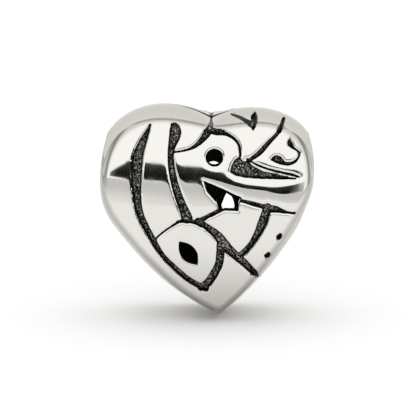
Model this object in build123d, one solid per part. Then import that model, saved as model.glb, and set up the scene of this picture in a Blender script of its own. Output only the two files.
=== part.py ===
from build123d import *
import os
from math import hypot, sqrt

# Heart-shaped slide-on bead in sterling silver, in millimetres.
# The origin is the middle of the bracelet bore: +X along the bore, -Y to the domed front, +Z up, tip down.

# Driving dimensions
domeRadius = 20.0  # ball that the front and the back are part of
halfDepth = 3.6  # seam to the top of either dome
domeMiddleZ = -1.1  # height of the dome's highest point
wall = 0.9
recessDepth = 0.45  # from a polished panel down to a blackened channel floor
flare = 0.36  # how far the side leans in between the seam and the edge of the dome
flareDepth = 2.8  # depth at which the side has leaned in by that much

boreRadius = 2.25  # clears the end fitting of a snake-chain bracelet
ringWall = 0.3
solderGap = 0.02
ringInnerEnd = 3.2  # distance of a ring's inner end from the middle of the bead
ringProud = 0.02  # how far a ring stands out of the side

lipHeight = 0.35  # lip of the back shell that locates it in the front shell
lipOffset = 0.46  # outside of the bead to the outside of the lip

middle = (0.1, -0.9)  # the point that an outline is drawn in towards
sectionDepths = (0.0, 1.4, 2.8, 4.2)
farDepth = 4.6  # past the dome
barLength = 18.0  # longer than the bead is wide
leafBottom = 2.3  # height from which the leaf recess's cutter rises, below the cleft
leafRise = 3.0

# Outline at the seam: x, z and the share of the flare that the side takes there.
# The cleft runs straight from front to back, so it takes none.
# The sides are widest where the bore comes out.
cleft = (0.2, 3.32, 0.0)
rightLobe = [
    cleft,
    (0.95, 3.62, 0.6),
    (2.3, 3.82, 1.0),
    (3.7, 3.6, 1.0),
    (4.8, 2.97, 1.1),
    (5.36, 2.2, 1.2),
    (5.65, 1.2, 1.3),
    (5.68, 0.3, 1.3),
    (5.25, -1.05, 1.3),
    (4.28, -2.72, 1.1),
    (3.0, -4.42, 1.0),
    (1.65, -5.8, 1.0),
    (0.95, -6.42, 1.15),
]
leftLobe = [
    cleft,
    (-0.65, 3.73, 0.6),
    (-2.1, 4.01, 1.0),
    (-3.6, 3.75, 1.0),
    (-4.75, 2.98, 1.1),
    (-5.28, 2.2, 1.2),
    (-5.64, 1.2, 1.3),
    (-5.75, 0.1, 1.3),
    (-5.52, -0.95, 1.3),
    (-4.7, -2.2, 1.1),
    (-3.57, -3.57, 1.0),
    (-2.2, -4.91, 1.0),
    (-0.42, -6.11, 1.0),
    (0.3, -6.5, 1.15),
]
tip = (0.66, -6.61, 1.2)

# Channels as middle lines: x, z and full width at each point.
sickle = [
    (-2.86, 3.42, 0.06),
    (-3.19, 2.76, 0.33),
    (-3.49, 1.96, 0.5),
    (-3.65, 0.95, 0.58),
    (-3.62, -0.17, 0.47),
    (-3.42, -1.06, 0.39),
    (-2.81, -2.38, 0.32),
    (-2.32, -3.21, 0.24),
    (-1.63, -3.95, 0.24),
    (-0.8, -4.64, 0.24),
    (-0.1, -4.98, 0.3),
]
islandSide = [
    (-0.3, -4.9, 0.34),
    (0.1, -4.62, 0.4),
    (0.38, -4.18, 0.4),
    (0.62, -3.7, 0.4),
    (0.7, -3.2, 0.4),
    (0.72, -2.6, 0.42),
]
post = [
    (-1.75, 3.42, 0.24),
    (-1.66, 3.15, 0.6),
    (-1.66, 2.9, 0.62),
    (-1.78, 2.3, 0.4),
    (-1.76, 1.04, 0.36),
    (-1.66, 0.55, 0.38),
    (-1.42, -0.29, 0.43),
    (-1.13, -1.12, 0.56),
    (-0.95, -1.52, 0.66),
]
longDiagonal = [
    (-0.5, -1.42, 0.28),
    (0.04, -1.88, 0.34),
    (0.45, -2.27, 0.4),
    (0.85, -2.76, 0.5),
    (1.3, -3.16, 0.43),
    (1.85, -3.62, 0.4),
    (2.31, -4.09, 0.31),
    (2.56, -4.37, 0.2),
]
islandTop = [(-2.62, -2.4, 0.1), (-2.3, -2.08, 0.1), (-1.8, -1.72, 0.1), (-1.4, -1.5, 0.14)]
islandShoulder = [(-1.5, -1.5, 0.13), (-1.1, -1.46, 0.21), (-0.75, -1.48, 0.23), (-0.3, -1.66, 0.26)]
link = [(-0.4, -1.48, 0.26), (0.04, -1.26, 0.23), (0.4, -1.06, 0.23), (0.75, -0.82, 0.23)]
leftBranch = [
    (0.16, 4.1, 0.2),
    (0.13, 3.5, 0.24),
    (0.11, 3.29, 0.34),
    (-0.27, 2.69, 0.31),
    (-0.52, 2.43, 0.23),
    (-0.88, 2.22, 0.14),
    (-1.65, 2.05, 0.1),
]
rightBranch = [
    (0.1, 3.34, 0.32),
    (0.37, 3.1, 0.37),
    (0.7, 3.06, 0.28),
    (1.28, 2.83, 0.17),
    (1.63, 2.3, 0.15),
    (1.68, 1.75, 0.15),
]
risingDiagonal = [
    (3.95, 3.75, 0.1),
    (3.84, 3.5, 0.18),
    (3.61, 2.99, 0.18),
    (3.13, 2.47, 0.23),
    (2.62, 1.93, 0.26),
    (2.02, 1.52, 0.16),
]
nickLeft = [(1.32, 3.94, 0.08), (1.96, 3.59, 0.14), (2.21, 3.37, 0.22), (2.33, 3.1, 0.1)]
nickRight = [(2.49, 4.07, 0.1), (2.47, 3.84, 0.23), (2.4, 3.5, 0.26), (2.3, 3.1, 0.1)]
hook = [
    (4.2, 2.57, 0.1),
    (4.25, 2.33, 0.26),
    (4.47, 2.05, 0.1),
    (4.68, 1.82, 0.1),
    (4.62, 1.6, 0.12),
    (4.43, 1.46, 0.15),
    (4.1, 1.39, 0.18),
    (3.77, 1.5, 0.27),
    (3.51, 1.65, 0.38),
    (3.27, 1.63, 0.15),
]
crossBar = [
    (1.5, -0.4, 0.28),
    (2.29, -0.61, 0.25),
    (2.8, -0.76, 0.26),
    (3.1, -0.87, 0.36),
    (3.4, -0.9, 0.36),
    (3.67, -0.98, 0.26),
    (4.0, -1.07, 0.14),
    (4.5, -1.17, 0.1),
]
stem = [
    (3.05, -0.8, 0.4),
    (2.96, -1.2, 0.43),
    (2.71, -1.88, 0.42),
    (2.3, -2.63, 0.34),
    (1.95, -3.06, 0.32),
    (1.6, -3.36, 0.3),
]
channels = [
    sickle,
    islandSide,
    post,
    longDiagonal,
    islandTop,
    islandShoulder,
    link,
    leftBranch,
    rightBranch,
    risingDiagonal,
    nickLeft,
    nickRight,
    hook,
    crossBar,
    stem,
]

# Recesses with straight sides: x and z of the corners
wedge = [
    (1.62, 1.87),
    (1.88, 1.64),
    (2.16, 1.64),
    (2.49, 1.33),
    (3.97, 0.86),
    (4.71, 0.64),
    (4.23, 0.52),
    (2.18, 0.67),
    (1.42, 0.78),
    (1.14, 0.94),
    (1.16, 1.29),
    (1.34, 1.67),
]

# Round pits in the panel right of the stem
pitMiddles = [(3.63, -2.32), (3.05, -3.27)]
pitRadius = 0.17

# Openings right through the shell
eyeletMiddle = (0.36, 1.78)
eyeletRadius = 0.45
starCorners = [
    (-0.21, 0.59),
    (0.7, 0.2),
    (1.75, -0.29),
    (1.6, -0.65),
    (1.58, -0.98),
    (0.9, -0.93),
    (0.55, -1.08),
    (0.45, -0.54),
    (-0.04, 0.03),
]
# On the back the star is blind but for a small window, and the eyelet sits lower.
backWindow = [
    (1.0, -0.87),
    (1.27, -1.05),
    (1.37, -1.28),
    (1.43, -1.6),
    (1.33, -1.79),
    (0.81, -1.81),
    (0.72, -1.53),
    (0.9, -1.06),
]
backEyeletMiddle = (0.32, 0.42)
seedRight = [(-1.42, -2.5), (-0.82, -2.68), (-0.5, -3.1), (-0.47, -3.72)]
seedLeft = [(-0.47, -3.72), (-1.07, -3.54), (-1.39, -3.12), (-1.42, -2.5)]

# Leaf-shaped recess across the cleft, just behind the seam: x and y
leafLeft = (-1.8, 0.02)
leafBack = [(-1.8, 0.02), (-0.9, 0.75), (0.15, 1.1), (0.95, 0.7), (1.5, 0.02)]
leafDepth = 0.25


def inward(point, distance):
    """The outline point moved in towards the middle of the heart."""
    x, z = point[0], point[1]
    dx, dz = middle[0] - x, middle[1] - z
    step = distance / hypot(dx, dz)
    return (x + dx * step, z + dz * step)


def heartFace(depth, inset):
    """The heart's outline at a depth from the seam, drawn in by an inset all round."""
    lean = flare * (depth / flareDepth) ** 2

    def drawn(points):
        return [inward(p, inset + lean * p[2]) for p in points]

    right, left, end = drawn(rightLobe), drawn(leftLobe), drawn([tip])[0]
    edges = [Spline(*right), ThreePointArc(right[-1], end, left[-1]), Spline(*left)]
    return Plane.XZ.offset(depth) * make_face(edges)


def ball(radius):
    """The ball that domes the front, drawn in or out from the same centre."""
    return Pos(0, domeRadius - halfDepth, domeMiddleZ) * Sphere(radius)


def halfHeart(inset):
    """Half of the heart, from the seam to the dome, drawn in by an inset all round."""
    side = loft([heartFace(depth, inset) for depth in sectionDepths])
    return side & ball(domeRadius - inset)


def throughFront(face):
    """A prism on a face of the seam plane, out through the front."""
    return extrude(Plane.XZ * face, farDepth)


def stroke(line):
    """The face of a channel, from its middle line and widths."""
    oneSide, otherSide = [], []
    for i, (x, z, width) in enumerate(line):
        before = line[max(i - 1, 0)]
        after = line[min(i + 1, len(line) - 1)]
        dx, dz = after[0] - before[0], after[1] - before[1]
        step = width / 2 / hypot(dx, dz)
        oneSide.append((x - dz * step, z + dx * step))
        otherSide.append((x + dz * step, z - dx * step))
    return make_face(
        [
            Spline(*oneSide),
            Line(oneSide[-1], otherSide[-1]),
            Spline(*otherSide),
            Line(otherSide[0], oneSide[0]),
        ]
    )


def corners(points):
    """A face with straight sides."""
    return make_face(Polyline(*points, close=True))


def seedFace():
    """A seed shape with a point at each end."""
    return make_face([Spline(*seedRight), Spline(*seedLeft)])


def patternCutters(recesses, openings):
    """What is taken out of a dome: recesses down to a common floor, and openings right through."""
    floor = ball(domeRadius - recessDepth)
    return [throughFront(face) - floor for face in recesses] + [throughFront(face) for face in openings]


def boreCylinder(radius, length):
    """A round bar along the bore."""
    return Rot(0, 90, 0) * Cylinder(radius, length)


def buildShells():
    """The two shells. The back has the front's channels, a blind seed and star, and its own openings."""
    recesses = [stroke(line) for line in channels] + [corners(wedge)]
    recesses += [Pos(*place) * Circle(pitRadius) for place in pitMiddles]
    eyelet, star, seed = Pos(*eyeletMiddle) * Circle(eyeletRadius), corners(starCorners), seedFace()
    backEyelet, window = Pos(*backEyeletMiddle) * Circle(eyeletRadius), corners(backWindow)
    plain = halfHeart(0) - halfHeart(wall)
    seat = boreCylinder(boreRadius + ringWall + solderGap, barLength)
    socket = extrude(heartFace(0, lipOffset - solderGap), lipHeight + solderGap)
    front = plain - patternCutters(recesses, [eyelet, star, seed]) - seat - socket
    lip = extrude(heartFace(0, lipOffset), lipHeight) - extrude(heartFace(0, wall), lipHeight)
    patterned = plain - patternCutters(recesses + [seed, star], [backEyelet, window])
    back = mirror(patterned, about=Plane.XZ) + lip - seat - leafRecess()
    return front, back


def leafRecess():
    """The leaf-shaped recess in the top of the back shell, either side of the cleft."""
    leaf = make_face([Spline(*leafBack), Line(leafBack[-1], leafLeft)])
    below = mirror(loft([heartFace(depth, leafDepth) for depth in sectionDepths]), about=Plane.XZ)
    return Pos(0, 0, leafBottom) * extrude(leaf, leafRise) - below


def buildRing(side):
    """A ring that lines one end of the bore, trimmed to the curve of the heart's side."""
    tube = boreCylinder(boreRadius + ringWall, barLength) - boreCylinder(boreRadius, barLength)
    trimmed = tube & (halfHeart(-ringProud) + mirror(halfHeart(-ringProud), about=Plane.XZ))
    keep = Pos(side * (ringInnerEnd + barLength / 2), 0, 0) * Box(barLength, barLength, barLength)
    return trimmed & keep


def save(part, name):
    solids = part.solids()
    print(name, len(solids), "solid(s)", round(sum(s.volume for s in solids), 2), "mm3")
    export_step(Compound(children=list(solids)) if len(solids) > 1 else solids[0], f"parts/{name}.step")


os.makedirs("parts", exist_ok=True)
frontShell, backShell = buildShells()
save(frontShell, "front_shell")
save(backShell, "back_shell")
save(buildRing(1), "right_bore_ring")
save(buildRing(-1), "left_bore_ring")
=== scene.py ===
import bpy
import math
import numpy as np
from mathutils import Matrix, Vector, noise


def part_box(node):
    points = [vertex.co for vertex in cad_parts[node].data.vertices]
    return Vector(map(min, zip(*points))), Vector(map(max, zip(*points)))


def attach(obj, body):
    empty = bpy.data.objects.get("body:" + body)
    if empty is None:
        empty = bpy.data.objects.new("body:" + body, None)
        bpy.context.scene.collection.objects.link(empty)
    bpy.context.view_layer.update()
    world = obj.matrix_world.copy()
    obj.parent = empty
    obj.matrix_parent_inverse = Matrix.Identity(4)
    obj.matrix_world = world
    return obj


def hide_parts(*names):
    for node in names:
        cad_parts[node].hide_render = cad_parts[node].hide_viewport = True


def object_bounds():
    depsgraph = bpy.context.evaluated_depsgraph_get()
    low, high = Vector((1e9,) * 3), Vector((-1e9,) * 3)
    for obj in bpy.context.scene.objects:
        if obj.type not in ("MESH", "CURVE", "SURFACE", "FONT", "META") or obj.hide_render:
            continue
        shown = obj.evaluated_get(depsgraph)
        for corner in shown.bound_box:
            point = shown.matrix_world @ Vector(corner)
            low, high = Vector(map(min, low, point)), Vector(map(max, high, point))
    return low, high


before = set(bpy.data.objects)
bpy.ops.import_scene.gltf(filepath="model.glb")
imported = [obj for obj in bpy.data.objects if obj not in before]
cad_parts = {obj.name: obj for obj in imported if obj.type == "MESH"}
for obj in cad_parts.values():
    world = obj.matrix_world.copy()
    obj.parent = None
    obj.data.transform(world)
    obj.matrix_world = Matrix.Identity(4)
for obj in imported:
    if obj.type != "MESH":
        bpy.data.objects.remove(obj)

cadLow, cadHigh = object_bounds()  # the CAD model's box
mm = 0.001  # pieces are modelled in millimetres and brought to metres when they are finished

# the bead as a whole: the outline at the seam, x, z and the share of the flare that the side takes there
bead = {
    "domeRadius": 20.0, "domeMiddleZ": -1.1, "wall": 0.9,
    "flare": 0.36, "flareDepth": 2.8,  # how far the side leans in, at that depth from the seam
    "middle": (0.1, -0.9),  # outlines are drawn in towards this point
    "rightLobe": [
        (0.2, 3.32, 0.0), (0.95, 3.62, 0.6), (2.3, 3.82, 1.0), (3.7, 3.6, 1.0), (4.8, 2.97, 1.1),
        (5.36, 2.2, 1.2), (5.65, 1.2, 1.3), (5.68, 0.3, 1.3), (5.25, -1.05, 1.3), (4.28, -2.72, 1.1),
        (3.0, -4.42, 1.0), (1.65, -5.8, 1.0), (0.95, -6.42, 1.15)],
    "tip": (0.66, -6.61, 1.2),
    "leftLobe": [
        (0.2, 3.32, 0.0), (-0.65, 3.73, 0.6), (-2.1, 4.01, 1.0), (-3.6, 3.75, 1.0), (-4.75, 2.98, 1.1),
        (-5.28, 2.2, 1.2), (-5.64, 1.2, 1.3), (-5.75, 0.1, 1.3), (-5.52, -0.95, 1.3), (-4.7, -2.2, 1.1),
        (-3.57, -3.57, 1.0), (-2.2, -4.91, 1.0), (-0.42, -6.11, 1.0), (0.3, -6.5, 1.15)],
}
bead["halfDepth"] = -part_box("front_shell")[0].y / mm

# the pattern cut into the domes: channels as middle lines with x, z and full width
channels = {
    "sickle": [
        (-2.84, 3.3, 0.08), (-3.085, 2.76, 0.3), (-3.41, 1.96, 0.5), (-3.54, 0.95, 0.56),
        (-3.52, -0.17, 0.45), (-3.385, -1.06, 0.38), (-2.755, -2.38, 0.33), (-2.27, -3.18, 0.26),
        (-1.585, -3.905, 0.29), (-0.75, -4.59, 0.29), (-0.05, -4.93, 0.32)],
    "islandSide": [
        (-0.33, -4.88, 0.36), (0.07, -4.6, 0.43), (0.35, -4.16, 0.43), (0.58, -3.7, 0.42), (0.65, -3.2, 0.42),
        (0.7, -2.6, 0.44)],
    "post": [
        (-1.64, 3.2, 0.4), (-1.6, 3.08, 0.56), (-1.6, 2.9, 0.6), (-1.76, 2.3, 0.4), (-1.76, 1.04, 0.36),
        (-1.66, 0.55, 0.38), (-1.41, -0.29, 0.43), (-1.13, -1.0, 0.5), (-1.02, -1.3, 0.58)],
    "longDiagonal": [
        (-0.48, -1.42, 0.28), (0.1, -1.85, 0.36), (0.52, -2.21, 0.46), (0.89, -2.7, 0.53),
        (1.32, -3.14, 0.44), (1.85, -3.61, 0.4), (2.31, -4.09, 0.31), (2.56, -4.37, 0.2)],
    "islandTop": [(-2.62, -2.42, 0.1), (-2.3, -2.12, 0.1), (-1.8, -1.75, 0.11), (-1.4, -1.5, 0.14)],
    "islandShoulder": [(-1.5, -1.5, 0.13), (-1.1, -1.46, 0.21), (-0.75, -1.48, 0.23), (-0.3, -1.66, 0.26)],
    "link": [(-0.4, -1.46, 0.26), (0.04, -1.22, 0.23), (0.4, -1.04, 0.23), (0.75, -0.82, 0.23)],
    "leftBranch": [
        (0.22, 4.1, 0.1), (0.2, 3.5, 0.16), (0.14, 3.2, 0.32), (-0.27, 2.58, 0.3), (-0.52, 2.34, 0.22),
        (-0.88, 2.14, 0.14), (-1.65, 1.98, 0.1)],
    "rightBranch": [
        (0.1, 3.12, 0.32), (0.37, 3.0, 0.34), (0.72, 2.95, 0.27), (1.05, 2.84, 0.18), (1.37, 2.62, 0.15),
        (1.6, 2.28, 0.13), (1.65, 1.75, 0.13)],
    "risingDiagonal": [
        (3.95, 3.75, 0.14), (3.84, 3.5, 0.22), (3.61, 2.99, 0.2), (3.13, 2.47, 0.23), (2.62, 1.93, 0.26),
        (2.02, 1.52, 0.16)],
    "nickLeft": [(1.28, 3.97, 0.18), (1.66, 3.79, 0.24), (1.98, 3.58, 0.28), (2.22, 3.38, 0.3), (2.31, 3.1, 0.1)],
    "nickRight": [(2.47, 4.05, 0.1), (2.42, 3.84, 0.32), (2.39, 3.6, 0.33), (2.34, 3.33, 0.22), (2.3, 3.08, 0.08)],
    "hook": [
        (4.12, 2.54, 0.12), (4.15, 2.33, 0.27), (4.32, 2.14, 0.13), (4.48, 2.02, 0.11), (4.62, 1.88, 0.12),
        (4.56, 1.64, 0.12), (4.36, 1.43, 0.16), (4.08, 1.35, 0.18), (3.78, 1.41, 0.24), (3.5, 1.6, 0.4),
        (3.22, 1.57, 0.12)],
    "wedgeRidge": [
        (1.95, 1.66, 0.08), (2.31, 1.43, 0.1), (2.63, 1.27, 0.12), (3.0, 1.13, 0.11), (3.45, 1.0, 0.13),
        (3.85, 0.9, 0.13), (4.26, 0.8, 0.14), (4.62, 0.68, 0.08)],
    "crossBar": [
        (1.6, -0.42, 0.16), (2.0, -0.52, 0.2), (2.29, -0.61, 0.24), (2.8, -0.76, 0.26), (3.1, -0.87, 0.36),
        (3.4, -0.9, 0.36), (3.67, -0.98, 0.26), (4.0, -1.07, 0.15), (4.4, -1.14, 0.12)],
    "stem": [
        (3.02, -0.8, 0.42), (2.9, -1.2, 0.47), (2.63, -1.88, 0.42), (2.22, -2.63, 0.31), (1.84, -3.06, 0.32),
        (1.5, -3.36, 0.3)],
}
# recesses with corners, and the openings
cornered = {
    "wedge": [
        (1.57, 1.74), (1.82, 1.53), (2.1, 1.49), (2.24, 1.32), (2.59, 1.12), (2.78, 1.02), (3.04, 0.96),
        (3.45, 0.86), (3.78, 0.77), (4.18, 0.68), (4.63, 0.62), (4.4, 0.56), (3.45, 0.59), (2.63, 0.63),
        (1.9, 0.7), (1.41, 0.81), (1.13, 0.97), (1.21, 1.3), (1.37, 1.62)],
}
openings = {
    "star": [
        (-0.21, 0.59), (0.7, 0.2), (1.75, -0.29), (1.6, -0.65), (1.58, -0.98), (0.9, -0.93),
        (0.55, -1.08), (0.45, -0.54), (-0.04, 0.03)],
    "seedRight": [(-1.42, -2.5), (-0.82, -2.68), (-0.5, -3.1), (-0.47, -3.72)],
    "seedLeft": [(-0.47, -3.72), (-1.07, -3.54), (-1.39, -3.12), (-1.42, -2.5)],
    "eyeletMiddle": (0.36, 1.71), "eyeletRadius": 0.445,
    "pitMiddles": [(3.63, -2.32), (3.05, -3.27)], "pitRadius": 0.17,  # blind round pits right of the stem
    "backWindow": [
        (1.0, -0.87), (1.27, -1.05), (1.37, -1.28), (1.43, -1.6), (1.33, -1.79), (0.81, -1.81), (0.72, -1.53),
        (0.9, -1.06)],
    "backEyeletMiddle": (0.32, 0.35),
}


def curveThrough(points, step):
    # points along a smooth curve through the given ones, a step apart
    known = np.array(points, float)
    chord = np.concatenate([[0], np.cumsum(np.linalg.norm(np.diff(known[:, :2], axis=0), axis=1))])
    count, gap = len(known), np.diff(chord)
    matrix, right = np.eye(count), np.zeros_like(known)
    for i in range(1, count - 1):
        matrix[i, i - 1:i + 2] = gap[i - 1], 2 * (gap[i - 1] + gap[i]), gap[i]
        right[i] = 6 * ((known[i + 1] - known[i]) / gap[i] - (known[i] - known[i - 1]) / gap[i - 1])
    bend = np.linalg.solve(matrix, right)
    at = np.linspace(0, chord[-1], max(3, int(chord[-1] / step) + 1))
    i = np.clip(np.searchsorted(chord, at, side="right") - 1, 0, count - 2)
    h, a = gap[i][:, None], (at - chord[i])[:, None]
    b = h - a
    return (bend[i] * b ** 3 + bend[i + 1] * a ** 3) / (6 * h) + (known[i] / h - bend[i] * h / 6) * b \
        + (known[i + 1] / h - bend[i + 1] * h / 6) * a


def strokeDistance(x, z, line):
    # distance from a channel's edge, below zero inside it, and the channel's width there
    path = curveThrough(line, 0.12)
    path[:, 2] = np.maximum(path[:, 2], 0.04)
    best, width = np.full(x.shape, 1e9), np.zeros(x.shape)
    for (ax, az, aw), (bx, bz, bw) in zip(path[:-1], path[1:]):
        dx, dz = bx - ax, bz - az
        t = np.clip(((x - ax) * dx + (z - az) * dz) / (dx * dx + dz * dz), 0, 1)
        here = aw + (bw - aw) * t
        away = np.hypot(x - ax - t * dx, z - az - t * dz) - here / 2
        width = np.where(away < best, here, width)
        best = np.minimum(best, away)
    return best, width


def cornerDistance(x, z, points):
    # distance from the edge of a shape with corners, below zero inside it
    best, inside = np.full(x.shape, 1e9), np.zeros(x.shape, bool)
    for (ax, az), (bx, bz) in zip(points, points[1:] + points[:1]):
        dx, dz = bx - ax, bz - az
        t = np.clip(((x - ax) * dx + (z - az) * dz) / (dx * dx + dz * dz), 0, 1)
        best = np.minimum(best, np.hypot(x - ax - t * dx, z - az - t * dz))
        crosses = (az > z) != (bz > z)
        inside ^= crosses & (x < ax + (z - az) * dx / (dz if dz else 1e-9))
    return np.where(inside, -best, best)


def softMin(distances, blend):
    # the nearest of several edges, with the corners between them rounded
    stack = np.array(distances)
    lowest = stack.min(0)
    return lowest - blend * np.log(np.exp(-(stack - lowest) / blend).sum(0))


def ripple(x, z, size, seed):
    return np.array([noise.noise(Vector((a / size, b / size, seed))) for a, b in zip(x, z)])


def polarOutline():
    # the seam's outline as angle, radius and share of the flare, about the bead's middle
    right, left = curveThrough(bead["rightLobe"], 0.02), curveThrough(bead["leftLobe"], 0.02)
    tip = curveThrough([right[-1], bead["tip"], left[-1]], 0.02)
    path = np.concatenate([right, tip[1:-1], left[::-1]])
    dx, dz = path[:, 0] - bead["middle"][0], path[:, 1] - bead["middle"][1]
    order = np.argsort(np.arctan2(dz, dx))
    return np.arctan2(dz, dx)[order], np.hypot(dx, dz)[order], path[:, 2][order]


outlineAngle, outlineRadius, outlineLean = polarOutline()


def angleOf(x, z):
    return np.arctan2(z - bead["middle"][1], x - bead["middle"][0])


def sideRadius(angle, depth, inset=0.0):
    # how far the side is from the middle, at a depth from the seam
    radius = np.interp(angle, outlineAngle, outlineRadius, period=2 * math.pi)
    lean = np.interp(angle, outlineAngle, outlineLean, period=2 * math.pi)
    return radius - inset - lean * bead["flare"] * (depth / bead["flareDepth"]) ** 2


def domeDepth(x, z, inset=0.0):
    # how far the dome is from the seam
    ball = bead["domeRadius"]
    height = np.sqrt((ball - inset) ** 2 - x ** 2 - (z - bead["domeMiddleZ"]) ** 2)
    return height - (ball - bead["halfDepth"])


def alongAngle(angle, radius):
    return bead["middle"][0] + radius * np.cos(angle), bead["middle"][1] + radius * np.sin(angle)


def creaseOf(angle, inset=0.0):
    # radius and depth of the edge where the dome meets the side
    depth = np.full(angle.shape, bead["flareDepth"])
    for _ in range(12):
        radius = sideRadius(angle, depth, inset)
        depth = domeDepth(*alongAngle(angle, radius), inset)
    return radius, depth


def coordinates(piece):
    flat = np.zeros(len(piece.data.vertices) * 3)
    piece.data.vertices.foreach_get("co", flat)
    return flat.reshape(-1, 3)


def setCoordinates(piece, places):
    piece.data.vertices.foreach_set("co", np.asarray(places, float).ravel())
    piece.data.update()


def pointValues(piece, name, values=None):
    # reads or writes a number kept at each vertex
    kept = piece.data.attributes.get(name) or piece.data.attributes.new(name, "FLOAT", "POINT")
    if values is not None:
        kept.data.foreach_set("value", np.asarray(values, np.float32))
    found = np.zeros(len(piece.data.vertices), np.float32)
    kept.data.foreach_get("value", found)
    return found


def perFace(piece, values):
    # the mean over each face of a number kept at the vertices
    mesh = piece.data
    corners = np.zeros(len(mesh.loops), int)
    mesh.loops.foreach_get("vertex_index", corners)
    starts, totals = np.zeros(len(mesh.polygons), int), np.zeros(len(mesh.polygons), int)
    mesh.polygons.foreach_get("loop_start", starts)
    mesh.polygons.foreach_get("loop_total", totals)
    return np.add.reduceat(values[corners], starts) / totals


def boundaryEdges(piece):
    mesh = piece.data
    used = np.zeros(len(mesh.loops), int)
    mesh.loops.foreach_get("edge_index", used)
    return np.bincount(used, minlength=len(mesh.edges)) == 1


def choose(piece, kind, mask):
    # selects vertices, edges or polygons, and nothing else
    for name in ("vertices", "edges", "polygons"):
        group = getattr(piece.data, name)
        group.foreach_set("select", mask if name == kind else np.zeros(len(group), bool))
    kinds = ("vertices", "edges", "polygons")
    bpy.context.tool_settings.mesh_select_mode = [name == kind for name in kinds]


def chosenVertices(piece):
    flags = np.zeros(len(piece.data.vertices), bool)
    piece.data.vertices.foreach_get("select", flags)
    return flags


def edit(step, **settings):
    # one edit-mode operator on the active piece's selection
    bpy.ops.object.mode_set(mode="EDIT")
    step(**settings)
    bpy.ops.object.mode_set(mode="OBJECT")


def activate(piece):
    bpy.ops.object.select_all(action="DESELECT")
    piece.select_set(True)
    bpy.context.view_layer.objects.active = piece


def extrude(shift=(0, 0, 0)):
    edit(bpy.ops.mesh.extrude_region_move, TRANSFORM_OT_translate={"value": shift})


def cutWith(piece, cutter):
    activate(piece)
    step = piece.modifiers.new("cut", "BOOLEAN")
    step.operation, step.solver, step.object = "DIFFERENCE", "MANIFOLD", cutter
    bpy.ops.object.modifier_apply(modifier=step.name)
    bpy.data.objects.remove(cutter)


# the two cast shells
shell = {
    "cell": 0.044,  # of the grid that the dome starts as
    "edgeRun": 0.34, "sideRun": 0.2, "roundingRings": 9,  # rounding between dome and side
    "sideRings": 44,
    "recessDepth": 0.45, "draft": 0.02, "shallow": 0.16, "depthPerWidth": 1.8,  # of the channels
    "lipDrop": 0.022, "lipWidth": 0.085,  # the polished roll at a channel's edge
    "swellDrop": 0.006, "swellReach": 0.34,  # the wider swell of each panel
    # the panel under the wedge rolls up towards it: x, z of the wedge's edge, slope there, and reach
    "roll": [
        (0.3, 1.1, 0.0, 0.5), (0.91, 1.03, 0.019, 0.5), (1.42, 0.81, 0.062, 0.56), (1.93, 0.7, 0.087, 0.59),
        (2.95, 0.583, 0.105, 0.625), (3.97, 0.58, 0.0613, 1.18), (4.58, 0.6, 0.0355, 1.27), (6.0, 0.6, 0.0355, 1.27)],
    "cornerBlend": 0.018,
    "rippleDepth": 0.014, "rippleSize": 0.22, "fineDepth": 0.004, "fineSize": 0.09,  # unevenness of the edges
    "floorRoughness": 0.035, "floorGrain": 0.07,
    "overrunSlope": math.tan(math.radians(8)),  # at which channels run on over the shoulder
    # the leaf-shaped recess across the cleft, x and depth from the seam
    "leafEdge": [(-1.85, 0.02), (-1.5, 0.6), (-0.8, 1.1), (0.15, 1.4), (0.9, 1.0), (1.5, 0.02)], "leafDepth": 0.2,
    "sideSink": 0.3,  # channels are shallower once they are over the shoulder
}


def cutDistance(x, z, shapes, eyeletMiddle):
    edges = [strokeDistance(x, z, line)[0] for line in channels.values()]
    edges += [cornerDistance(x, z, points) for points in list(cornered.values()) + shapes]
    edges.append(np.hypot(x - eyeletMiddle[0], z - eyeletMiddle[1]) - openings["eyeletRadius"])
    edges += [np.hypot(x - a, z - b) - openings["pitRadius"] for a, b in openings["pitMiddles"]]
    return softMin(edges, shell["cornerBlend"])


def floorDepth(x, z, shapes):
    # narrow channels are shallower; where shapes meet, the deeper one counts
    depth = np.full(x.shape, shell["shallow"])
    for line in channels.values():
        away, width = strokeDistance(x, z, line)
        depth = np.where(away < 0.03, np.maximum(depth, width * shell["depthPerWidth"]), depth)
    for points in list(cornered.values()) + shapes:
        depth = np.where(cornerDistance(x, z, points) < 0.03, shell["recessDepth"], depth)
    for a, b in openings["pitMiddles"]:
        depth = np.where(np.hypot(x - a, z - b) < openings["pitRadius"] + 0.03, 0.3, depth)
    return np.minimum(depth, shell["recessDepth"])


def domeGrid(name, cut, rim):
    # a fine grid whose nearest vertices are moved onto the channels' edges and the rim
    reach = outlineRadius.max() + 0.1
    count = int(2 * reach / shell["cell"])
    bpy.ops.object.select_all(action="DESELECT")
    bpy.ops.mesh.primitive_grid_add(x_subdivisions=count, y_subdivisions=count, size=2 * reach,
                                    location=(bead["middle"][0], 0, bead["middle"][1]),
                                    rotation=(math.pi / 2, 0, 0))
    piece = bpy.context.object
    piece.name = name
    bpy.ops.object.transform_apply()
    places = coordinates(piece)
    activate(piece)
    choose(piece, "vertices", rim(places[:, 0], places[:, 2]) > 2 * shell["cell"])
    edit(bpy.ops.mesh.delete, type="VERT")
    places = coordinates(piece)
    x, z = places[:, 0].copy(), places[:, 2].copy()
    onRim = snap(x, z, rim)
    onCut = snap(x, z, cut, ~onRim)
    places[:, 0], places[:, 2] = x, z
    setCoordinates(piece, places)
    for marked in (onRim, onCut):
        choose(piece, "vertices", marked)
        edit(bpy.ops.mesh.vert_connect)
    cutValues, rimValues = cut(x, z), rim(x, z)
    cutValues[onCut], rimValues[onRim] = 0, 0
    pointValues(piece, "cut", cutValues)
    pointValues(piece, "side", np.zeros(len(x)))
    choose(piece, "polygons", perFace(piece, rimValues) > 0)
    edit(bpy.ops.mesh.delete, type="FACE")
    return piece


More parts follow.
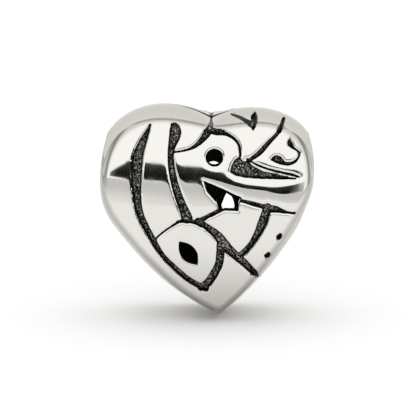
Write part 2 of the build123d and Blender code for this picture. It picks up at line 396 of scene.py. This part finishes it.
def snap(x, z, field, allowed=None):
    # moves the points within half a cell of a field's zero onto it, and says which they are
    near = np.abs(field(x, z)) < shell["cell"] / 2
    if allowed is not None:
        near &= allowed
    tiny = 0.004
    for _ in range(2):
        px, pz = x[near], z[near]
        value = field(px, pz)
        slopeX, slopeZ = (field(px + tiny, pz) - value) / tiny, (field(px, pz + tiny) - value) / tiny
        step = np.clip(value / np.maximum(slopeX ** 2 + slopeZ ** 2, 0.3), -0.03, 0.03)
        x[near], z[near] = px - slopeX * step, pz - slopeZ * step
    return near


def panelDrop(edge, away):
    # how far the polished surface lies below the dome: the lip's roll and the panel's wider swell
    roll = shell["lipDrop"] * np.maximum(1 - np.maximum(edge, 0) / shell["lipWidth"], 0) ** 2
    return roll, shell["swellDrop"] * np.maximum(1 - np.maximum(away, 0) / shell["swellReach"], 0) ** 2


def underWedge(x, z):
    # how far the panel under the wedge has rolled below the dome
    at, edge, slope, reach = np.array(shell["roll"]).T
    down = np.interp(x, at, edge) - z
    reach = np.interp(x, at, reach)
    rise = np.interp(x, [4.0, 4.6], [0.15, 0.5])  # past the wedge's end the roll goes on upwards
    below = reach / 2 * np.maximum(1 - np.maximum(down, 0) / reach, 0) ** 2
    above = rise * (1 - np.exp(-np.maximum(-down, 0) / rise))
    return np.interp(x, at, slope) * (below + above)


def buildShell(name, shapes, eyeletMiddle, through, leaf):
    def cut(x, z):
        wobble = ripple(x, z, shell["rippleSize"], 3.0) * shell["rippleDepth"]
        fine = ripple(x, z, shell["fineSize"], 5.0) * shell["fineDepth"]
        return cutDistance(x, z, shapes, eyeletMiddle) + wobble + fine

    def rim(x, z):
        angle = angleOf(x, z)
        return np.hypot(x - bead["middle"][0], z - bead["middle"][1]) - creaseOf(angle)[0] + shell["edgeRun"]

    piece = domeGrid(name, cut, rim)
    places, distance = coordinates(piece), pointValues(piece, "cut")
    x, z = places[:, 0], places[:, 2]
    smooth = cutDistance(x, z, shapes, eyeletMiddle)
    places[:, 1] = sum(panelDrop(distance, smooth)) + underWedge(x, z) - domeDepth(x, z)
    setCoordinates(piece, places)
    print(name, "dome", len(places))

    # channels and openings go down together
    faces = perFace(piece, distance) < 0
    piece.data.polygons.foreach_set("material_index", faces.astype(int))
    choose(piece, "polygons", faces)
    extrude()
    lowered, distance, places = chosenVertices(piece), pointValues(piece, "cut"), coordinates(piece)
    x, z = places[lowered, 0], places[lowered, 2]
    atFoot = np.abs(distance[lowered]) < 1e-6
    slopeX, slopeZ = cut(x + 0.01, z) - cut(x, z), cut(x, z + 0.01) - cut(x, z)
    slope = np.maximum(np.hypot(slopeX, slopeZ), 1e-6)
    places[lowered, 0] -= np.where(atFoot, slopeX / slope * shell["draft"], 0)
    places[lowered, 2] -= np.where(atFoot, slopeZ / slope * shell["draft"], 0)
    grain = ripple(x, z, shell["floorGrain"], 7.0) * shell["floorRoughness"]
    places[lowered, 1] = floorDepth(x, z, shapes) + grain - domeDepth(x, z)
    # a channel that crosses the rim stays open there
    edges = np.zeros(len(piece.data.edges) * 2, int)
    piece.data.edges.foreach_get("vertices", edges)
    onRim = np.zeros(len(places), bool)
    onRim[edges.reshape(-1, 2)[boundaryEdges(piece)].ravel()] = True
    crossing = onRim & ~lowered & (distance < 0)
    x, z = places[crossing, 0], places[crossing, 2]
    grain = ripple(x, z, shell["floorGrain"], 7.0) * shell["floorRoughness"]
    places[crossing, 1] = floorDepth(x, z, shapes) + grain - domeDepth(x, z)
    setCoordinates(piece, places)
    rimAll = np.abs(rim(places[:, 0], places[:, 2])) < 0.01
    choose(piece, "vertices", rimAll)
    edit(bpy.ops.mesh.remove_doubles, threshold=0.0005)
    print(name, "channels", len(piece.data.vertices))

    # the rim is drawn out ring by ring: rounding, side, seam, and back inside to the middle
    rings = ringPlan()
    for ring in rings:
        choose(piece, "edges", boundaryEdges(piece))
        extrude()
        fresh, places = chosenVertices(piece), coordinates(piece)
        angle = angleOf(places[fresh, 0], places[fresh, 2])
        radius, depth, sideways = ring(angle)
        distance = pointValues(piece, "cut")
        distance[fresh] = 1.0
        if sideways is not None:
            x, z = alongAngle(angle, radius)
            rimDepth = creaseOf(angle)[1]
            away = cut(x, z + (rimDepth - depth) * shell["overrunSlope"])
            deep = np.where(np.abs(x - 0.2) < 0.4, 0.05, shell["sideSink"])  # hardly any in the cleft
            sink = deep * np.clip((0.01 - away) / 0.1, 0, 1)
            roll, swell = panelDrop(away, away)
            inward = sink + roll + (swell + underWedge(x, z)) * (1 - sideways)
            radius, depth = radius - inward * math.sin(sideways * math.pi / 2), \
                depth - inward * math.cos(sideways * math.pi / 2)
            distance[fresh] = away
        if leaf and sideways == 1:
            x, z = alongAngle(angle, radius)
            inLeaf = -cornerDistance(x, depth, shell["leafEdge"])
            inLeaf = np.where(z > 2.4, inLeaf, -1)
            radius = radius - shell["leafDepth"] * np.clip(inLeaf / 0.15, 0, 1)
            distance[fresh] = np.minimum(distance[fresh], 0.03 - inLeaf)
        x, z = alongAngle(angle, np.maximum(radius, 0.05))
        places[fresh] = np.stack([x, -depth, z], 1)
        setCoordinates(piece, places)
        pointValues(piece, "cut", distance)
        turned = pointValues(piece, "side")
        turned[fresh] = 1 if sideways is None else sideways
        pointValues(piece, "side", turned)
    choose(piece, "edges", boundaryEdges(piece))
    edit(bpy.ops.mesh.merge, type="CENTER")
    print(name, "closed", len(piece.data.vertices))
    paintDark(piece)
    turns = [2 * math.pi * i / 48 for i in range(48)]
    eyelet = [(eyeletMiddle[0] + openings["eyeletRadius"] * math.cos(t),
               eyeletMiddle[1] + openings["eyeletRadius"] * math.sin(t)) for t in turns]
    for points in through + [eyelet]:
        cutWith(piece, prism(drawnIn(points), -2.3, -bead["halfDepth"] - 1))
    cutWith(piece, boreCutter())
    print(name, "cut", len(piece.data.vertices))
    return piece


def ringPlan():
    # each ring as a function of angle: radius, depth, and how far it has turned from dome to side
    plan = []

    def rounding(t):
        def ring(angle):
            creaseRadius, creaseDepth = creaseOf(angle)
            startRadius = creaseRadius - shell["edgeRun"]
            startDepth = domeDepth(*alongAngle(angle, startRadius))
            endDepth = creaseDepth - shell["sideRun"]
            endRadius = sideRadius(angle, endDepth)
            a, b, c = (1 - t) ** 2, 2 * t * (1 - t), t * t
            return (a * startRadius + b * creaseRadius + c * endRadius,
                    a * startDepth + b * creaseDepth + c * endDepth, t)
        return ring

    def side(share):
        def ring(angle):
            depth = (creaseOf(angle)[1] - shell["sideRun"]) * (1 - share ** 1.3)
            return sideRadius(angle, depth), depth, 1
        return ring

    def inside(share, depthShare):
        def ring(angle):
            creaseRadius, creaseDepth = creaseOf(angle, bead["wall"])
            if depthShare < 1:
                depth = creaseDepth * depthShare
                return sideRadius(angle, depth, bead["wall"]), depth, None
            radius = creaseRadius * share
            return radius, domeDepth(*alongAngle(angle, radius), bead["wall"]), None
        return ring

    plan += [rounding((i + 1) / shell["roundingRings"]) for i in range(shell["roundingRings"])]
    plan += [side((i + 1) / shell["sideRings"]) for i in range(shell["sideRings"])]
    plan += [inside(1, share) for share in (0, 0.4, 0.8)]
    plan += [inside(share, 1) for share in (1, 0.75, 0.5, 0.25, 0.08)]
    return plan


def paintDark(piece):
    # blackened faces: recesses, their walls and the whole inside
    normals, middles = np.zeros(len(piece.data.polygons) * 3), np.zeros(len(piece.data.polygons) * 3)
    piece.data.polygons.foreach_get("normal", normals)
    piece.data.polygons.foreach_get("center", middles)
    normals, middles = normals.reshape(-1, 3), middles.reshape(-1, 3)
    distance = perFace(piece, pointValues(piece, "cut"))
    angle = angleOf(middles[:, 0], middles[:, 2])
    radius = np.hypot(middles[:, 0] - bead["middle"][0], middles[:, 2] - bead["middle"][1])
    depth = -middles[:, 1]
    inside = (radius < sideRadius(angle, depth) - 0.62) & (depth < domeDepth(middles[:, 0], middles[:, 2]) - 0.62)
    wallOfChannel = (np.abs(normals[:, 1]) < 0.45) & (np.abs(distance) < 0.02) & (radius < creaseOf(angle)[0])
    onSide = radius > creaseOf(angle)[0] - 0.2
    dark = inside | wallOfChannel | (distance < np.where(onSide, -0.05, -0.004))
    piece.data.polygons.foreach_set("material_index", dark.astype(int))


def prism(points, near, far):
    # a cutter with the given outline, from one depth to another
    bpy.ops.object.select_all(action="DESELECT")
    bpy.ops.mesh.primitive_circle_add(vertices=len(points), radius=1, fill_type="NGON", rotation=(math.pi / 2, 0, 0))
    cutter = bpy.context.object
    bpy.ops.object.transform_apply()
    setCoordinates(cutter, [(x, near, z) for x, z in points])
    choose(cutter, "polygons", np.ones(1, bool))
    extrude((0, far - near, 0))
    choose(cutter, "polygons", np.ones(len(cutter.data.polygons), bool))
    edit(bpy.ops.mesh.normals_make_consistent, inside=False)
    return leavingBlack(cutter)


def drawnIn(points, share=0.96):
    middle = np.mean(points, 0)
    return [tuple(middle + (np.array(p) - middle) * share) for p in points]


def seedOutline():
    sides = [curveThrough([(x, z, 0) for x, z in openings[name]], 0.05) for name in ("seedRight", "seedLeft")]
    return [(x, z) for side in sides for x, z, _ in side[:-1]]


def boreCutter():
    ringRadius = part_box("right_bore_ring")[1].z / mm
    bpy.ops.object.select_all(action="DESELECT")
    bpy.ops.mesh.primitive_cylinder_add(vertices=192, radius=ringRadius + 0.02, depth=14,
                                        rotation=(0, math.pi / 2, 0))
    cutter = bpy.context.object
    bpy.ops.object.transform_apply()
    return leavingBlack(cutter)


def leavingBlack(cutter):
    # the faces that a cutter leaves behind are blackened
    for _ in range(2):
        cutter.data.materials.append(None)
    cutter.data.polygons.foreach_set("material_index", np.ones(len(cutter.data.polygons), int))
    return cutter


star, window = openings["star"], openings["backWindow"]
front = buildShell("frontShell", [star, seedOutline()], openings["eyeletMiddle"], [star, seedOutline()], False)
back = buildShell("backShell", [star, window, seedOutline()], openings["backEyeletMiddle"], [window], True)
activate(back)
choose(back, "polygons", np.ones(len(back.data.polygons), bool))
edit(bpy.ops.mesh.flip_normals)
places = coordinates(back)
places[:, 1] *= -1
setCoordinates(back, places)


# the two rings that line the ends of the bore
lining = {"innerRadius": 2.25, "turns": 192, "roundOver": 0.1, "proud": 0.02}


def buildRing(name, node, sign):
    low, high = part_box(node)
    outer = high.z / mm
    start = abs(low.x if sign > 0 else high.x) / mm
    bpy.ops.object.select_all(action="DESELECT")
    bpy.ops.mesh.primitive_cylinder_add(vertices=lining["turns"], radius=outer, depth=1, end_fill_type="NOTHING",
                                        rotation=(0, math.pi / 2, 0))
    ring = bpy.context.object
    ring.name = name
    bpy.ops.object.transform_apply()
    places = coordinates(ring)
    turn = np.arctan2(places[:, 2], places[:, 1])
    # the mouth follows the bead's side
    reach = mouthReach(turn, outer, sign)
    places[:, 0] = sign * np.where(places[:, 0] * sign > 0, reach, start)
    setCoordinates(ring, places)
    activate(ring)
    solid = ring.modifiers.new("wall", "SOLIDIFY")
    solid.thickness, solid.offset = outer - lining["innerRadius"], -1
    solid.use_even_offset = True
    bpy.ops.object.modifier_apply(modifier=solid.name)
    edges = ring.modifiers.new("lip", "BEVEL")
    edges.width, edges.segments = lining["roundOver"], 4
    edges.limit_method, edges.angle_limit = "ANGLE", math.radians(50)
    bpy.ops.object.modifier_apply(modifier=edges.name)
    return ring


def mouthReach(turn, radius, sign):
    # the side's distance along the bore, plus the little the ring stands proud
    depth, height = np.abs(radius * np.cos(turn)), radius * np.sin(turn)
    reach = np.full(turn.shape, 5.0)
    for _ in range(12):
        angle = angleOf(sign * reach, height)
        side = sideRadius(angle, np.minimum(depth, 2.6))
        across = height - bead["middle"][1]
        reach = sign * bead["middle"][0] + np.sqrt(np.maximum(side ** 2 - across ** 2, 1))
    return reach + lining["proud"]


rightRing = buildRing("rightRing", "right_bore_ring", 1)
leftRing = buildRing("leftRing", "left_bore_ring", -1)
print("rings ready")


def linear(code):
    # sRGB hex colour as linear red, green, blue
    parts = [int(code[i:i + 2], 16) / 255 for i in (0, 2, 4)]
    return [c / 12.92 if c <= 0.04045 else ((c + 0.055) / 1.055) ** 2.4 for c in parts] + [1]


def add(material, kind, **values):
    # one node; inputs are set by name, and a node or socket value is linked
    node = material.node_tree.nodes.new(kind)
    for key, value in values.items():
        if hasattr(node, key):
            setattr(node, key, value)
            continue
        socket = node.inputs[key.replace("_", " ")]
        if isinstance(value, bpy.types.NodeSocket):
            material.node_tree.links.new(value, socket)
        else:
            socket.default_value = value
    return node


def newMaterial(name):
    material = bpy.data.materials.new(name)
    material.use_nodes = True
    material.node_tree.nodes.clear()
    return material


def finish(material, shader):
    output = add(material, "ShaderNodeOutputMaterial")
    material.node_tree.links.new(shader.outputs[0], output.inputs[0])
    return material


def silverLook(material):
    # near-mirror sterling silver, with the slight wave that hand polishing leaves, a millimetre or so long
    place = add(material, "ShaderNodeTexCoord").outputs["Object"]
    buff = add(material, "ShaderNodeTexNoise", Vector=place, Scale=1200.0, Detail=3.0, Roughness=0.6)
    rough = add(material, "ShaderNodeMapRange", Value=buff.outputs[0], From_Min=0.35, From_Max=0.65,
                To_Min=0.03, To_Max=0.06)
    wave = add(material, "ShaderNodeTexNoise", Vector=place, Scale=700.0, Detail=1.0)
    bump = add(material, "ShaderNodeBump", Height=wave.outputs[0], Strength=0.3, Distance=0.00001)
    # painted shade: a darker line painted just inside the crease, and the sides painted a shade greyer, in place of
    # the reflections there
    side = add(material, "ShaderNodeAttribute", attribute_name="side")
    creaseAndSideShade = add(material, "ShaderNodeValToRGB", Fac=side.outputs["Fac"])
    creaseAndSideShades = [(0.0, "E3E1DC"), (0.1, "DBD9D4"), (0.25, "C6C4BF"), (0.6, "B2B0AB"), (0.8, "CAC8C3"), (1.0, "D9D7D2")]
    for _ in creaseAndSideShades[2:]:
        creaseAndSideShade.color_ramp.elements.new(0.5)
    for element, (at, code) in zip(creaseAndSideShade.color_ramp.elements, creaseAndSideShades):
        element.position, element.color = at, linear(code)
    # painted shade: the colour darkens towards the tip, in place of the darker floor reflected there
    height = add(material, "ShaderNodeSeparateXYZ", Vector=place).outputs["Z"]
    tipShade = add(material, "ShaderNodeMapRange", Value=height, From_Min=-0.0028, From_Max=-0.006, To_Min=0.0,
               To_Max=0.5)
    tipShadeMix = add(material, "ShaderNodeMix", data_type="RGBA", blend_type="MULTIPLY")
    for socket, source in ((0, tipShade.outputs[0]), (6, creaseAndSideShade.outputs[0])):
        material.node_tree.links.new(source, tipShadeMix.inputs[socket])
    # the painted shade's colour at the tip
    tipShadeMix.inputs[7].default_value = linear("C4C2BE")
    shader = add(material, "ShaderNodeBsdfPrincipled", Base_Color=tipShadeMix.outputs[2], Metallic=1.0,
                 Roughness=rough.outputs[0], Normal=bump.outputs[0])
    shader.inputs["Specular Tint"].default_value = linear("DCDAD6")
    return shader


def blackLook(material):
    # oxidised silver, black in the hollows; the bright specks along the middle are painted glints of light caught by
    # the grain, and the black nearest the walls is painted shade; grains of about a tenth of a millimetre
    place = add(material, "ShaderNodeTexCoord").outputs["Object"]
    grain = add(material, "ShaderNodeTexNoise", Vector=place, Scale=9000.0, Detail=3.0, Roughness=0.65)
    glintNoise = add(material, "ShaderNodeTexNoise", Vector=place, Scale=13000.0, Detail=2.0)
    edge = add(material, "ShaderNodeAttribute", attribute_name="cut")
    # painted shade and glints: the bright specks keep to the middle and fade out towards the walls
    middle = add(material, "ShaderNodeMapRange", Value=edge.outputs["Fac"], From_Min=-0.05, From_Max=-0.14)
    glintSpeck = add(material, "ShaderNodeMapRange", Value=glintNoise.outputs[0], From_Min=0.5, From_Max=0.63)
    share = add(material, "ShaderNodeMath", operation="MULTIPLY")
    material.node_tree.links.new(middle.outputs[0], share.inputs[0])
    material.node_tree.links.new(glintSpeck.outputs[0], share.inputs[1])
    tint = add(material, "ShaderNodeValToRGB", Fac=share.outputs[0])
    ramp = tint.color_ramp
    ramp.elements[0].position, ramp.elements[0].color = 0.0, linear("141312")
    # the painted glints' colour
    ramp.elements[1].position, ramp.elements[1].color = 1.0, linear("C9C6C0")
    bump = add(material, "ShaderNodeBump", Height=grain.outputs[0], Strength=1.0, Distance=0.00006)
    return add(material, "ShaderNodeBsdfPrincipled", Base_Color=tint.outputs[0], Metallic=0.8,
               Roughness=0.42, Normal=bump.outputs[0])


def polishedSilver():
    # silver that turns black where a channel runs on over the shoulder
    material = newMaterial("polished sterling silver")
    edge = add(material, "ShaderNodeAttribute", attribute_name="cut")
    share = add(material, "ShaderNodeMapRange", Value=edge.outputs["Fac"], From_Min=-0.002, From_Max=-0.012)
    both = add(material, "ShaderNodeMixShader")
    for socket, source in zip(both.inputs, (share, silverLook(material), blackLook(material))):
        material.node_tree.links.new(source.outputs[0], socket)
    return finish(material, both)


def blackenedSilver():
    material = newMaterial("oxidised silver")
    return finish(material, blackLook(material))


silver, blackened = polishedSilver(), blackenedSilver()


def dress(piece, node, mats):
    # the pieces' materials, their size in metres and the CAD node each stands for
    kinds = np.zeros(len(piece.data.polygons), int)
    piece.data.polygons.foreach_get("material_index", kinds)
    piece.data.materials.clear()
    for material in mats:
        piece.data.materials.append(material)
    piece.data.polygons.foreach_set("material_index", kinds)
    activate(piece)
    piece.scale = (mm, mm, mm)
    bpy.ops.object.transform_apply()
    bpy.ops.object.shade_smooth_by_angle(angle=math.radians(50))
    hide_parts(node)
    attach(piece, "root")


for piece, node in ((front, "front_shell"), (back, "back_shell")):
    dress(piece, node, [silver, blackened])
for piece, node in ((rightRing, "right_bore_ring"), (leftRing, "left_bore_ring")):
    dress(piece, node, [silver])

print("pieces dressed")

scene = bpy.context.scene
scene.view_settings.view_transform = "Standard"
target = Vector((0.04, 0, -1.3)) * mm
elevation, lens = math.radians(8), 300.0
distance = 21.235 * mm * lens / 36.0
camera = bpy.data.objects.new("camera", bpy.data.cameras.new("camera"))
scene.collection.objects.link(camera)
camera.data.lens, camera.data.sensor_width = lens, 36.0
camera.data.clip_start, camera.data.clip_end = 0.001, 5.0
camera.location = target + distance * Vector((0, -math.cos(elevation), math.sin(elevation)))
camera.rotation_euler = (math.pi / 2 - elevation, 0, 0)
scene.camera = camera

world = bpy.data.worlds.new("studio")
scene.world = world
world.use_nodes = True
world.node_tree.nodes.clear()
direction = add(world, "ShaderNodeTexCoord").outputs["Generated"]
parts = add(world, "ShaderNodeSeparateXYZ", Vector=direction).outputs


def sine(degrees):
    return math.sin(math.radians(degrees))


def ease(value, start, end):
    # 0 before start, 1 after end
    return add(world, "ShaderNodeMapRange", interpolation_type="SMOOTHSTEP", Value=value,
               From_Min=start, From_Max=end).outputs[0]


def times(first, second):
    node = add(world, "ShaderNodeMath", operation="MULTIPLY")
    world.node_tree.links.new(first, node.inputs[0])
    world.node_tree.links.new(second, node.inputs[1])
    return node.outputs[0]


def scaled(value, factor, extra):
    # value x factor + extra
    node = add(world, "ShaderNodeMath", operation="MULTIPLY_ADD")
    world.node_tree.links.new(value, node.inputs[0])
    node.inputs[1].default_value = factor
    world.node_tree.links.new(extra, node.inputs[2])
    return node.outputs[0]


def blend(share, first, second):
    node = add(world, "ShaderNodeMix")
    world.node_tree.links.new(share, node.inputs[0])
    for place, value in ((2, first), (3, second)):
        if isinstance(value, float):
            node.inputs[place].default_value = value
        else:
            world.node_tree.links.new(value, node.inputs[place])
    return node.outputs[0]


# a broad soft box from just over the table to overhead, a grey ceiling, back and side walls, and the
# gap of dark room between table and box, which polished metal shows as one dark band
boxEdge = ease(parts["Z"], sine(50), sine(55))
ceiling = ease(parts["Z"], sine(57), sine(66))
overhead = blend(ceiling, blend(boxEdge, 1.2, 0.66), 0.8)
behind = ease(parts["Y"], -0.1, 0.3)
across = add(world, "ShaderNodeMath", operation="ABSOLUTE")
world.node_tree.links.new(parts["X"], across.inputs[0])
beside = times(ease(across.outputs[0], 0.62, 0.8), ease(across.outputs[0], 1.0, 0.86))
walls = blend(beside, blend(behind, overhead, 1.08), 0.5)
level = scaled(parts["X"], 0.05, parts["Z"])  # the gap runs a little downhill to the right
leftwards = ease(parts["X"], -0.37, -0.62)  # the box comes down to the table at its left end
overTable = ease(scaled(leftwards, -0.01, level), sine(0.8), sine(1.15))
underBox = ease(scaled(leftwards, 0.13, level), sine(6.45), sine(5.75))
ahead = ease(scaled(parts["X"], 0.025, parts["Y"]), -0.82, -0.9)
gap = times(times(overTable, underBox), ahead)
table = ease(level, sine(0.8), sine(0.6))
nearer = ease(level, sine(-0.8), sine(-6.0))
walls = blend(table, walls, blend(nearer, 0.69, 0.93))
room = blend(ease(level, sine(1.5), sine(6.5)), 0.004, 0.04)  # a little light spills in under the box
glow = add(world, "ShaderNodeBackground", Color=blend(gap, walls, room), Strength=1.0)
world.node_tree.links.new(glow.outputs[0], add(world, "ShaderNodeOutputWorld").inputs[0])

floorLow = min(corner.z for corner in (cadLow, cadHigh))
bpy.ops.mesh.primitive_plane_add(size=1.6, location=(0, 0.735, floorLow - 0.0001))
floor = bpy.context.object
floor.name = "floor"
bpy.ops.object.transform_apply()
paper = newMaterial("white paper sweep")
matt = add(paper, "ShaderNodeBsdfPrincipled", Base_Color=linear("FFFFFF"), Roughness=0.9)
floor.data.materials.append(finish(paper, matt))

# a lamp behind a diffuser overhead; it lights the paper and isn't seen in the metal
lamp = bpy.data.objects.new("diffusedLamp", bpy.data.lights.new("diffusedLamp", "AREA"))
scene.collection.objects.link(lamp)
lamp.data.shape, lamp.data.size = "DISK", 0.35
lamp.data.energy = 0.23
lamp.location = (0, 0.08, 0.4)
lamp.visible_glossy = False
print("room ready")
